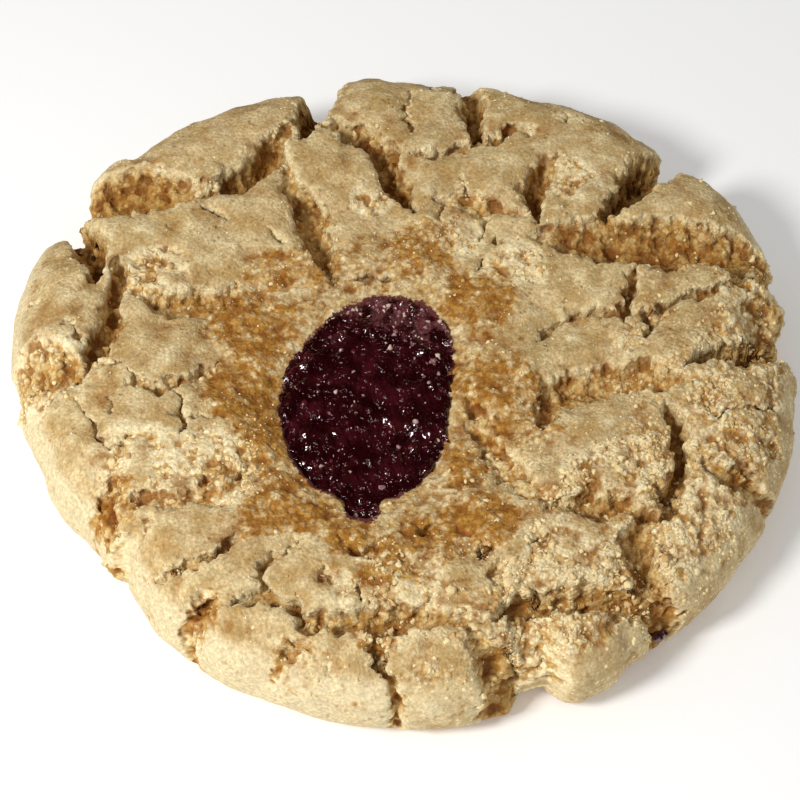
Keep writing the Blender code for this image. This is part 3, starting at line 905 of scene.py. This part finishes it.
def jamMaterial(grain):
    colours = jamFinish
    made, tree, shader, place, given = paint("strawberryJam", grain, colours["grains"], colours["pores"])
    mixed = blendColour(tree, ramp(tree, given["Mottle"], 0.4, 0.75), colours["dark"], colours["fruit"])
    dry = ramp(tree, total(tree, read(tree, "dry"), given["Grain"]), 0.95, 1.3)
    mixed = blendColour(tree, dry, mixed, colours["dry"])
    tree.links.new(mixed, shader.inputs["Base Color"])
    rough = ramp(tree, dry, 0.0, 1.0, colours["roughness"], colours["dryRoughness"])
    tree.links.new(rough, shader.inputs["Roughness"])
    shader.inputs["Specular IOR Level"].default_value = colours["specular"]
    shader.inputs["Coat Weight"].default_value = colours["coat"]
    shader.inputs["Coat IOR"].default_value = colours["coatIndex"]
    shader.inputs["Coat Roughness"].default_value = colours["coatRoughness"]
    values = {"Vector": place, "Scale": colours["ridges"], "Detail": 2.0, "Distortion": 0.8}
    ridges = addNode(tree, "ShaderNodeTexNoise", values, noise_type="RIDGED_MULTIFRACTAL")
    height = total(tree, product(tree, ridges.outputs[0], 0.5), given["Grain"])
    addBump(tree, shader, height, colours["bumpStrength"], colours["bumpDistance"])
    return made


def makeJam(material):
    mesh = icosphere("jamPool", jam["subdivisions"])
    directions = readPoints(mesh)
    points, reach = shapeJam(directions)
    movePoints(mesh, points)
    lobe = smooth(jam["centre"][1] - jam["halfLength"] - points[:, 1] + 0.6)
    dusty = smooth((points[:, 1] + 0.4 * points[:, 0] + 4) / 9)
    dusty = dusty * smooth(0.75 + 2 * lumps(points, jam["dustLumps"]))
    dry = np.maximum.reduce([smooth((reach - 0.9) / 0.1) * 0.6, 0.5 * lobe, 0.85 * dusty])
    setAttribute(mesh, "dry", dry)
    upward = (directions[:, 2] > 0.02) * 1.0
    setAttribute(mesh, "fleckMask", upward * (0.1 + dusty) * (reach < 0.97))
    setAttribute(mesh, "seedMask", upward * (reach < 0.85))
    print("jam")
    return addObject("jamPool", mesh, material)


smear = {
    "centre": (30.1, -38.9, 4.7),
    "size": (1.1, 0.75, 0.75),
    "subdivisions": 4,
    "uneven": (0.7, 0.3, 81.0),
    "dry": 0.6,
}


def makeSmear(material):
    mesh = icosphere("jamSmear", smear["subdivisions"])
    directions = readPoints(mesh)
    points = directions * smear["size"]
    points += directions * lumps(points, smear["uneven"])[:, None] + smear["centre"]
    movePoints(mesh, points)
    setAttribute(mesh, "dry", np.full(len(points), smear["dry"]))
    return addObject("jamSmear", mesh, material)


# Scattering: one tree, which takes its sizes and its rule for where things lie as inputs
def scatterTree(name, shape, shapeValues):
    tree = bpy.data.node_groups.new(name, "GeometryNodeTree")
    addSockets(tree, "INPUT", "Geometry", "Geometry")
    addSockets(tree, "INPUT", "String", "Where")
    addSockets(tree, "INPUT", "Float", "Density", "Smallest", "Largest", "Sunk", "Lumpiness", "Lump Scale")
    addSockets(tree, "INPUT", "Int", "Seed")
    addSockets(tree, "INPUT", "Material", "Material")
    addSockets(tree, "OUTPUT", "Geometry", "Geometry")
    given = addNode(tree, "NodeGroupInput").outputs

    def scaled(vector, amount):
        values = {0: vector, "Scale": amount}
        return addNode(tree, "ShaderNodeVectorMath", values, operation="SCALE").outputs[0]

    def drawnVector(low, high, seed):
        values = {0: (low,) * 3, 1: (high,) * 3, "Seed": seed}
        return addNode(tree, "FunctionNodeRandomValue", values, data_type="FLOAT_VECTOR").outputs[0]

    def drawnNumber(seed):
        values = {2: 0.0, 3: 1.0, "Seed": seed}
        return addNode(tree, "FunctionNodeRandomValue", values, data_type="FLOAT").outputs[1]

    mask = addNode(tree, "GeometryNodeInputNamedAttribute", {"Name": given["Where"]}, data_type="FLOAT")
    cast = addNode(tree, "GeometryNodeDistributePointsOnFaces", {
        "Mesh": given["Geometry"],
        "Density": product(tree, mask.outputs[0], given["Density"]),
        "Seed": given["Seed"],
    })
    placed = addNode(tree, "GeometryNodeSetPosition", {
        "Geometry": cast.outputs["Points"],
        "Offset": scaled(cast.outputs["Normal"], given["Sunk"]),
    })
    size = addNode(tree, "ShaderNodeMapRange", {
        "Value": sums(tree, "POWER", drawnNumber(7), 2.2),
        "To Min": given["Smallest"],
        "To Max": given["Largest"],
    })
    made = addNode(tree, "GeometryNodeInstanceOnPoints", {
        "Points": placed.outputs[0],
        "Instance": addNode(tree, shape, shapeValues).outputs[0],
        "Rotation": drawnVector(0, 6.283, given["Seed"]),
        "Scale": scaled(drawnVector(0.6, 1.0, 3), size.outputs[0]),
    })
    shades = {"Geometry": made.outputs[0], "Name": "shade", "Value": drawnNumber(11)}
    kept = addNode(tree, "GeometryNodeStoreNamedAttribute", shades, data_type="FLOAT", domain="INSTANCE")
    real = addNode(tree, "GeometryNodeRealizeInstances", {"Geometry": kept.outputs[0]})
    uneven = addNode(tree, "ShaderNodeTexNoise", {"Scale": given["Lump Scale"], "Detail": 1.0})
    values = {0: uneven.outputs["Color"], 1: (0.5, 0.5, 0.5)}
    push = addNode(tree, "ShaderNodeVectorMath", values, operation="SUBTRACT")
    lumpy = addNode(tree, "GeometryNodeSetPosition", {
        "Geometry": real.outputs[0],
        "Offset": scaled(push.outputs[0], given["Lumpiness"]),
    })
    painted = addNode(tree, "GeometryNodeSetMaterial", {
        "Geometry": lumpy.outputs[0],
        "Material": given["Material"],
    })
    addNode(tree, "NodeGroupOutput", {"Geometry": painted.outputs[0]})
    return tree


def scatter(name, tree, ground, values, material, isSmooth=True):
    host = addObject(name + "Host", ground.data.copy())
    modifier = host.modifiers.new("Scatter", "NODES")
    modifier.node_group = tree
    sockets = {item.name: item.identifier for item in tree.interface.items_tree if item.in_out == "INPUT"}
    for label, value in {**values, "Material": material}.items():
        modifier[sockets[label]] = value
    mesh = applied(host)
    bpy.data.objects.remove(host)
    mesh.name = name
    if isSmooth:
        mesh.shade_smooth()
    else:
        mesh.shade_flat()
    made = addObject(name, mesh)
    print(name, sum(len(face.vertices) - 2 for face in mesh.polygons), "triangles")
    return made


# Colours of loose things, dark and pale, and their roughness
looseFinish = {
    "crumbs": (tint(204, 166, 104), tint(242, 222, 170), 0.85),
    "sugar": (tint(220, 194, 142), tint(246, 234, 206), 0.5),
    "jamFlecks": (tint(128, 78, 86), tint(214, 184, 170), 0.45),
    "jamSeeds": (tint(50, 4, 12), tint(84, 22, 28), 0.3),
}
looseGrain = {
    "grains": 3000,  # per metre
    "pores": 2000,
    "shadeEdge": (0.5, 1.4),
    "bumpStrength": 0.4,
    "bumpDistance": 0.2 * mm,
    "seedCoat": 0.8,
    "seedCoatRoughness": 0.05,
}


def looseMaterial(name, grain):
    dark, pale, roughness = looseFinish[name]
    made, tree, shader, _, given = paint(name, grain, looseGrain["grains"], looseGrain["pores"])
    share = ramp(tree, total(tree, read(tree, "shade"), given["Grain"]), *looseGrain["shadeEdge"])
    tree.links.new(blendColour(tree, share, dark, pale), shader.inputs["Base Color"])
    shader.inputs["Roughness"].default_value = roughness
    addBump(tree, shader, given["Grain"], looseGrain["bumpStrength"], looseGrain["bumpDistance"])
    return made


def seedMaterial(grain):
    made = looseMaterial("jamSeeds", grain)
    shader = made.node_tree.nodes["Principled BSDF"]
    shader.inputs["Coat Weight"].default_value = looseGrain["seedCoat"]
    shader.inputs["Coat Roughness"].default_value = looseGrain["seedCoatRoughness"]
    return made


# Loose things: how many per square metre where their mask is full, and how large
crumbForm = {
    "Where": "crumbMask",
    "Density": 1.8e6,
    "Smallest": 0.5 * mm,
    "Largest": 1.35 * mm,
    "Sunk": -0.2 * mm,
    "Lumpiness": 1.3 * mm,
    "Lump Scale": 1600.0,
    "Seed": 4,
}
fineCrumbForm = {
    "Where": "grainMask",
    "Density": 3.2e6,
    "Smallest": 0.25 * mm,
    "Largest": 0.9 * mm,
    "Sunk": -0.08 * mm,
    "Lumpiness": 0.7 * mm,
    "Lump Scale": 2400.0,
    "Seed": 14,
}
sugarForm = {
    "Where": "sugarMask",
    "Density": 1.0e6,
    "Smallest": 0.15 * mm,
    "Largest": 0.4 * mm,
    "Sunk": 0.03 * mm,
    "Lumpiness": 0.2 * mm,
    "Lump Scale": 3000.0,
    "Seed": 9,
}
fleckForm = {
    "Where": "fleckMask",
    "Density": 1.1e6,
    "Smallest": 0.15 * mm,
    "Largest": 0.8 * mm,
    "Sunk": -0.05 * mm,
    "Lumpiness": 0.9 * mm,
    "Lump Scale": 2200.0,
    "Seed": 21,
}
seedForm = {
    "Where": "seedMask",
    "Density": 0.1e6,
    "Smallest": 0.8 * mm,
    "Largest": 1.3 * mm,
    "Sunk": -0.25 * mm,
    "Lumpiness": 0.7 * mm,
    "Lump Scale": 1100.0,
    "Seed": 5,
}


# Camera, light and floor
view = {
    "elevation": 52.0,
    "distance": 300.0,
    "target": (-0.9, -5.2, 7.5),
    "focalPixels": 2340.0,
    "framePixels": 800.0,
    "sensor": 36.0,
}


def makeCamera():
    camera = bpy.data.cameras.new("camera")
    camera.sensor_width = view["sensor"]
    camera.lens = view["focalPixels"] * view["sensor"] / view["framePixels"]
    camera.clip_start = 0.01
    made = addObject("camera", camera)
    tilt = math.radians(view["elevation"])
    x, y, z = view["target"]
    made.location = (
        x * mm,
        (y - view["distance"] * math.cos(tilt)) * mm,
        (z + view["distance"] * math.sin(tilt)) * mm,
    )
    made.rotation_euler = (math.pi / 2 - tilt, 0, 0)
    bpy.context.scene.camera = made


studio = {
    "keyPlace": (-0.2, -0.18, 0.27),  # metres
    "keyTarget": (0, 0, 0.01),
    "keySize": 0.095,
    "keyPower": 1.05,
    "keyColour": (1.0, 0.985, 0.96),
    "skyStrength": 0.45,
    "floorColour": (0.95, 0.95, 0.95, 1),
    "floorGlow": 0.12,
    "floorRoughness": 0.9,
    "floorReach": 4,
    "floorDrop": 0.2 * mm,
}


def makeKey():
    lamp = bpy.data.lights.new("key", "AREA")
    lamp.shape = "DISK"
    lamp.size = studio["keySize"]
    lamp.energy = studio["keyPower"]
    lamp.color = studio["keyColour"]
    made = addObject("key", lamp)
    made.location = studio["keyPlace"]
    toTarget = made.location - Vector(studio["keyTarget"])
    made.rotation_euler = toTarget.to_track_quat("Z", "Y").to_euler()


def makeFloor():
    mesh = bpy.data.meshes.new("floor")
    plane = bmesh.new()
    bmesh.ops.create_grid(plane, x_segments=1, y_segments=1, size=studio["floorReach"])
    bmesh.ops.translate(plane, verts=plane.verts, vec=(0, 0, -studio["floorDrop"]))
    plane.to_mesh(mesh)
    plane.free()
    made = bpy.data.materials.new("paleFloor")
    made.use_nodes = True
    shader = made.node_tree.nodes["Principled BSDF"]
    shader.inputs["Base Color"].default_value = studio["floorColour"]
    shader.inputs["Emission Color"].default_value = (1, 1, 1, 1)
    shader.inputs["Emission Strength"].default_value = studio["floorGlow"]
    shader.inputs["Roughness"].default_value = studio["floorRoughness"]
    floor = addObject("floor", mesh, made)


def makeStudio():
    makeKey()
    world = bpy.data.worlds.new("studio")
    bpy.context.scene.world = world
    world.cycles_visibility.glossy = False  # a white sky would veil the wet jam
    world.use_nodes = True
    background = world.node_tree.nodes["Background"]
    background.inputs["Color"].default_value = (1, 1, 1, 1)
    background.inputs["Strength"].default_value = studio["skyStrength"]
    bpy.context.scene.view_settings.view_transform = "Standard"
    makeFloor()


makeCamera()
makeStudio()
print("camera and studio")
grain = grainGroup()
cookie = makeBiscuit(crustMaterial(grain))
jamPaint = jamMaterial(grain)
pool = makeJam(jamPaint)
smearPiece = makeSmear(jamPaint)
ballTree = scatterTree("scatterBalls", "GeometryNodeMeshUVSphere", {"Radius": 0.5, "Segments": 7, "Rings": 5})
chipTree = scatterTree("scatterChips", "GeometryNodeMeshIcoSphere", {"Radius": 0.5, "Subdivisions": 1})
crumbPaint = looseMaterial("crumbs", grain)
crumbs = scatter("crumbs", ballTree, cookie, crumbForm, crumbPaint)
grains = scatter("fineCrumbs", chipTree, cookie, fineCrumbForm, crumbPaint)
sugar = scatter("sugarGrains", chipTree, cookie, sugarForm, looseMaterial("sugar", grain), False)
flecks = scatter("jamFlecks", ballTree, pool, fleckForm, looseMaterial("jamFlecks", grain))
seeds = scatter("jamSeeds", ballTree, pool, seedForm, seedMaterial(grain))

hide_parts("cookie")
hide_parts("jam")
for piece in (cookie, pool, smearPiece, crumbs, grains, sugar, flecks, seeds):
    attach(piece, "root")
